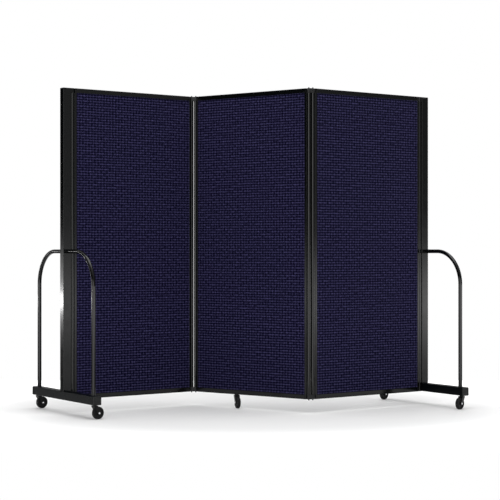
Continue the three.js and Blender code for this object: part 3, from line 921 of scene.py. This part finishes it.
# %% [markdown]
# ## Casters
#
# A caster is a fork that swivels under its stem, a wheel between its legs, and an axle with a
# bright head on each side. The wheel and axle are lathe shapes. The fork is a plate with two
# tapering legs: each leg's outline runs from the plate's corners, along the tangents, round the
# axle's boss. A short web closes the fork in front of the wheel. The fork's stand runs from the
# swivel axis, where the joint says it is, to the wheel.

# %% Shapes of a caster
WHEEL_RADIUS = 0.0285
WHEEL_HALF = 0.009
WHEEL_SHOULDER = 0.0042
WHEEL_SHOULDER_STEPS = 7
WHEEL_SIDES = 48
PIN_SIDES = 28
FORK_INNER = 0.010
FORK_WALL = 0.0025
FORK_BOSS = 0.007
BOSS_POINTS = 18
FORK_FRONT = -0.0095
FORK_REAR = 0.012
WEB_REACH = 0.22
WEB_THICKNESS = 0.002
RACE_RADIUS = 0.0105
RACE_HEIGHT = 0.0035
RACE_BORE = 0.002
RACE_LIP = 0.001
RACE_CHAMFER = 0.0008
PLATE_THICKNESS = 0.0035
STEM_RADIUS = 0.004
STEM_LENGTH = 0.012
STEM_CHAMFER = 0.0006
AXLE_RADIUS = 0.003
AXLE_HEAD = 0.005
AXLE_HEAD_RIM = 0.0009
AXLE_HEAD_DOME = 0.0011
AXLE_HEAD_TIP = math.radians(10)
AXLE_HEAD_STEPS = 6


def wheel_profile():
    """Half of the section, hub to tread, then its mirror image: the tread's shoulder is a
    quarter circle, and the disc is dished between hub and rim."""
    turn = np.linspace(0, math.pi / 2, WHEEL_SHOULDER_STEPS)
    inset = WHEEL_SHOULDER * np.column_stack([1 - np.sin(turn), 1 - np.cos(turn)])
    tread = (WHEEL_RADIUS, WHEEL_HALF) - inset
    side = np.array([
        (0.0033, 0.0097), (0.0072, 0.0097), (0.0078, 0.0090), (0.0082, 0.0056), (0.0092, 0.0046),
        (0.0196, 0.0046), (0.0208, 0.0056), (0.0214, 0.0084), (0.0222, 0.0090),
    ])
    half = np.concatenate([side, tread])
    return np.concatenate([half * (1, -1), half[::-1]])


def ring_lathe(profile, sides):
    """A lathe shape with a hole: one more row of faces joins the last row of points to the
    first, because each corner's number is taken as the remainder by the number of points."""
    points, _ = lathe(profile, sides)
    faces = np.array(grid_faces(len(profile) + 1, sides)) % len(points)
    return points, faces.tolist()


def axle_profile():
    """A pin with a low domed head at each end."""
    head = FORK_INNER + FORK_WALL + FIT_GAP
    turn = np.linspace(AXLE_HEAD_TIP, math.pi / 2, AXLE_HEAD_STEPS)
    dome = np.column_stack([
        AXLE_HEAD * np.sin(turn), head + AXLE_HEAD_RIM + AXLE_HEAD_DOME * np.cos(turn),
    ])
    half = np.concatenate([dome, [(AXLE_HEAD, head), (AXLE_RADIUS, head)]])
    return np.concatenate([half * (1, -1), half[::-1]])


def tangent_turn(corner, centre, radius, side):
    """The angle at which a line from corner touches a circle."""
    away = np.subtract(corner, centre)
    return math.atan2(away[1], away[0]) + side * math.acos(radius / np.hypot(*away))


def leg_outline(trail, top, low):
    """Plate edge, tangent, boss, tangent, in (along, up), clockwise from the plate's rear."""
    axle = (trail, WHEEL_RADIUS)
    start = tangent_turn((FORK_FRONT, low), axle, FORK_BOSS, 1)
    end = tangent_turn((FORK_REAR, low), axle, FORK_BOSS, -1) + 2 * math.pi
    boss = arc(axle, FORK_BOSS, math.degrees(start), math.degrees(end), BOSS_POINTS)
    return np.concatenate([
        [(FORK_REAR, top), (FORK_FRONT, top), (FORK_FRONT, low)], boss, [(FORK_REAR, low)],
    ])


def across_prism(outline, start, end):
    """An (along, up) outline carried across from start to end."""
    return closed_loft(np.stack([
        np.column_stack([outline[:, 0], np.full(len(outline), place), outline[:, 1]])
        for place in (start, end)
    ]))


def fork_shape(trail, mounting):
    """Two legs, the plate and the web, with the race and the stem above them."""
    top = mounting - RACE_HEIGHT
    low = top - PLATE_THICKNESS
    fork_outer = FORK_INNER + FORK_WALL
    outline = leg_outline(trail, top, low)
    left_leg = across_prism(outline, -FORK_INNER, -fork_outer)
    right_leg = across_prism(outline, fork_outer, FORK_INNER)
    plate = np.array([
        (FORK_FRONT, -FORK_INNER), (FORK_REAR, -FORK_INNER),
        (FORK_REAR, FORK_INNER), (FORK_FRONT, FORK_INNER),
    ])
    front = outline[2]
    drop = (outline[3] - front) * WEB_REACH
    web = front + np.array([(WEB_THICKNESS, 0), (0, 0), drop, drop + (WEB_THICKNESS, 0)])
    stem_top = mounting + STEM_LENGTH
    race = np.array([
        (RACE_BORE, top - FIT_GAP), (RACE_RADIUS - RACE_LIP, top - FIT_GAP),
        (RACE_RADIUS, top + RACE_CHAMFER), (RACE_RADIUS, mounting - RACE_CHAMFER),
        (RACE_RADIUS - RACE_CHAMFER, mounting), (STEM_RADIUS, mounting),
        (STEM_RADIUS, stem_top - STEM_CHAMFER), (STEM_RADIUS - STEM_CHAMFER, stem_top),
    ])
    return merged(
        left_leg, right_leg, closed_loft(upright(plate, [low, top])),
        across_prism(web, FORK_INNER, -FORK_INNER), lathe(race, PIN_SIDES),
    )


# %% Put the casters on
casters = ("left_front", "left_rear", "middle", "right_front", "right_rear")
joint_places = {joint["name"]: np.array(joint["pos_m"]) for joint in frame["joints"]}


def about_axle(points, trail):
    """Lays a lathe shape on its side: its axis runs across, through the axle."""
    return np.stack([
        points[..., 0] + trail, points[..., 2], WHEEL_RADIUS - points[..., 1],
    ], axis=-1)


for name in casters:
    swivel, wheel = f"{name}_swivel", f"{name}_wheel"
    node = f"{name}_caster"
    stand = stand_between(joint_places[f"{node}_turn"], middle_of(f"{node}_wheel"))
    trail = stand["length"]
    mounting = heights_of(f"{node}_fork")[1] - STEM_LENGTH - FIT_GAP
    shape = placed(stand, fork_shape(trail, mounting))
    piece(f"{name}_fork", shape, caster_paint, swivel, f"{node}_fork", SOFT_EDGE)
    points, faces = ring_lathe(wheel_profile(), WHEEL_SIDES)
    shape = on_stand(stand, about_axle(points, trail)), faces
    piece(f"{name}_tyre", shape, rubber, wheel, f"{node}_wheel")
    points, faces = lathe(axle_profile(), PIN_SIDES)
    shape = on_stand(stand, about_axle(points, trail)), faces
    piece(f"{name}_axle", shape, plated, swivel, f"{node}_axle")
print("casters trail", round(trail, 4), "and are mounted at", round(mounting, 4))

# %% [markdown]
# ## Floor
#
# The screen stands on a pale studio floor that fades into white. Near the screen the floor is an
# ordinary matte white that takes the shadows. Further out it also glows by itself, more and more
# with the distance, for rays that come from the camera, and faintly for those off something
# glossy. So the floor has no edge in the picture, and the glow doesn't light the screen.

# %% Make the floor
FLOOR_HALF_WIDTH = 1.75
FLOOR_HALF_DEPTH = 1.5
FLOOR_COLOUR = (0.80, 0.80, 0.80)
FLOOR_ROUGHNESS = 0.6
GLOW_NEAR = 0.08
GLOW_FAR = 0.60
GLOW_REFLECTED = 0.1
SHADOW_MIDDLE_Y = 0.05
SHADOW_INNER = 0.78
SHADOW_OUTER = 1.50
SHADOW_STRETCH = 1.25

floor_mesh = bpy.data.meshes.new("floor")
corners = np.array([(-1, -1, 0), (1, -1, 0), (1, 1, 0), (-1, 1, 0)])
corners = corners * (FLOOR_HALF_WIDTH, FLOOR_HALF_DEPTH, 1)
floor_mesh.from_pydata(corners, [], [(0, 1, 2, 3)])
floor = bpy.data.objects.new("floor", floor_mesh)
scene.collection.objects.link(floor)

matte, shader = new_finish("floor_white", FLOOR_COLOUR, FLOOR_ROUGHNESS, Specular_IOR_Level=0.1)
rays = add_node(matte, "ShaderNodeLightPath").outputs
direct = maths(matte, "MULTIPLY_ADD", rays["Is Glossy Ray"], GLOW_REFLECTED, rays["Is Camera Ray"])
squeezed = add_node(
    matte,
    "ShaderNodeMapping",
    {
        "Vector": add_node(matte, "ShaderNodeTexCoord").outputs["Object"],
        "Location": (0, -SHADOW_MIDDLE_Y, 0),
        "Scale": (1 / SHADOW_STRETCH, 1, 1),
    },
).outputs["Vector"]
distance = add_node(matte, "ShaderNodeVectorMath", {0: squeezed}, operation="LENGTH")
# Where the glow rises it paints light over the outer tail of the screen's shadow.
fade = smooth_step(
    matte, distance.outputs["Value"], (SHADOW_INNER, SHADOW_OUTER), (GLOW_NEAR, GLOW_FAR)
)
lift = maths(matte, "MULTIPLY", direct, fade)
glow = add_node(matte, "ShaderNodeEmission", {"Color": (1, 1, 1, 1), "Strength": lift})
total = add_node(
    matte, "ShaderNodeAddShader", {0: shader.outputs["BSDF"], 1: glow.outputs["Emission"]}
)
output = matte.node_tree.nodes["Material Output"]
join(matte, total.outputs["Shader"], output.inputs["Surface"])
floor_mesh.materials.append(matte)
print("floor", 2 * FLOOR_HALF_WIDTH, "by", 2 * FLOOR_HALF_DEPTH)

# %% [markdown]
# ## Sky
#
# The camera sees plain white all round. Everything else sees a studio: a white backdrop behind
# the screen, a dim room at the sides, soft light from above, a bright band in front, and a bright
# strip where the floor ends. Satin black shows hardly anything but reflections. The strip draws
# the light patch half way down every upright, and the dim room above it keeps their upper parts
# black. The band is narrow, so a round tube or barrel shows it as one thin line along its length,
# and it lights the cloth evenly from top to bottom.
#
# Each part of the studio is a smooth step of the direction's X, Y or Z, and the steps are
# multiplied, added and mixed. Y below zero is in front of the screen.

# %% Make the sky
CAMERA_WHITE = 1.0
LEFT_TO_RIGHT = (-0.3, 0.3)
FRONT_TO_SIDE = (-0.5, -0.1)
SIDE_TO_BACK = (0.5, 0.75)
# The strip where the floor ends: its strengths, its lower end and its top.
STRIP_FRONT = 2.4
STRIP_LEFT = 3.4
STRIP_RIGHT = 4.4
STRIP_END_LEFT = -0.062
STRIP_END_RIGHT = -0.085
STRIP_FULL = -0.035
STRIP_TOP = (-0.037, 0.013)
# The ground below the strip, from the front to the back.
LEFT_GROUND = (0.6, 0.1)
LEFT_GROUND_TURNS = (-0.3, 0.3)
RIGHT_GROUND = (0.1, 0.95)
RIGHT_GROUND_TURNS = (-0.35, -0.1)
# The faint wall at the right, and the light from above.
RIGHT_WALL = (0.5, 0.15)
RIGHT_WALL_STARTS = (0.2, 0.8)
CEILING = 0.75
CEILING_STARTS = (0.25, 0.80)
# The bright band in front, turned a little to one side.
FRONT_BAND = 3.1
BAND_ASIDE = 0.18
BAND_EDGE = (-0.95, -0.86)
BAND_END = (0.20, 0.32)
# The white backdrop behind.
BACKDROP_WHITE = 1.0
BACKDROP_STARTS = (0.60, 0.80)
BACKDROP_RISES = (0.12, 0.25)

world = bpy.data.worlds.new("studio")
world.use_nodes = True
scene.world = world
background = world.node_tree.nodes["Background"]


def sky_mix(share, first, second):
    """first where share is 0 and second where it is 1."""
    mix = add_node(
        world, "ShaderNodeMix", {"Factor": share, "A": first, "B": second}, data_type="FLOAT"
    )
    return mix.outputs["Result"]


direction = add_node(world, "ShaderNodeTexCoord").outputs["Generated"]
heading = add_node(world, "ShaderNodeSeparateXYZ", {"Vector": direction}).outputs
to_right = smooth_step(world, heading["X"], LEFT_TO_RIGHT, (0, 1))

side_strip = sky_mix(to_right, STRIP_LEFT, STRIP_RIGHT)
strip = smooth_step(world, heading["Y"], FRONT_TO_SIDE, (STRIP_FRONT, side_strip))
strip = maths(world, "MULTIPLY", strip, smooth_step(world, heading["Y"], SIDE_TO_BACK, (1, 0)))
left_ground = smooth_step(world, heading["Y"], LEFT_GROUND_TURNS, LEFT_GROUND)
right_ground = smooth_step(world, heading["Y"], RIGHT_GROUND_TURNS, RIGHT_GROUND)
ground = sky_mix(to_right, left_ground, right_ground)
strip_end = sky_mix(to_right, STRIP_END_LEFT, STRIP_END_RIGHT)
strip_from = smooth_step(world, heading["Z"], (strip_end, STRIP_FULL), (ground, strip))
strip_to = smooth_step(world, heading["Z"], STRIP_TOP, (1, 0))

right_wall = maths(
    world,
    "MULTIPLY",
    smooth_step(world, heading["X"], RIGHT_WALL_STARTS, (0, 1)),
    smooth_step(world, heading["Y"], FRONT_TO_SIDE, RIGHT_WALL),
)
ceiling = smooth_step(world, heading["Z"], CEILING_STARTS, (right_wall, CEILING))
room = maths(world, "MULTIPLY_ADD", strip_from, strip_to, ceiling)

front = maths(world, "MULTIPLY_ADD", heading["X"], BAND_ASIDE, heading["Y"])
height = maths(world, "ABSOLUTE", heading["Z"])
band = maths(
    world,
    "MULTIPLY",
    smooth_step(world, front, BAND_EDGE, (1, 0)),
    smooth_step(world, height, BAND_END, (1, 0)),
)
room = sky_mix(band, room, FRONT_BAND)

behind = maths(
    world,
    "MULTIPLY",
    smooth_step(world, heading["Y"], BACKDROP_STARTS, (0, 1)),
    smooth_step(world, heading["Z"], BACKDROP_RISES, (0, 1)),
)
studio = sky_mix(behind, room, BACKDROP_WHITE)
seen = add_node(world, "ShaderNodeLightPath").outputs["Is Camera Ray"]
background.inputs["Color"].default_value = (1, 1, 1, 1)
join(world, sky_mix(seen, studio, CAMERA_WHITE), background.inputs["Strength"])
print("sky nodes", len(world.node_tree.nodes))

# %% [markdown]
# ## Lamps
#
# A wide soft lamp hangs above the screen, a little in front of it, and throws the short soft
# shadow under it and behind it. A long low lamp stands at the left and behind, where the outer
# side of the left post reflects it: that is the one bright patch on the screen.


# %% Hang the lamps
def lamp(name, place, target, width, height, power):
    """A soft rectangular lamp that faces a target: tilted from straight down by the angle whose
    tangent is level distance over drop, and turned towards the target."""
    data = bpy.data.lights.new(name, "AREA")
    data.shape = "RECTANGLE"
    data.size, data.size_y = width, height
    data.energy = power
    made = bpy.data.objects.new(name, data)
    scene.collection.objects.link(made)
    made.location = place
    made.visible_camera = False
    facing = np.subtract(target, place)
    tilt = math.atan2(float(np.hypot(facing[0], facing[1])), -facing[2])
    made.rotation_euler = (tilt, 0, math.atan2(facing[1], facing[0]) - math.pi / 2)
    print("lamp", name, power, "watts")


lamp("overhead", place=(0.0, -0.2, 4.4), target=(0, -0.2, 0), width=4.2, height=4.2, power=160)
lamp(
    "low_left", place=(-6.2, 2.53, 0.32), target=(-0.86, -0.22, 0.4), width=1.4, height=0.11,
    power=12,
)
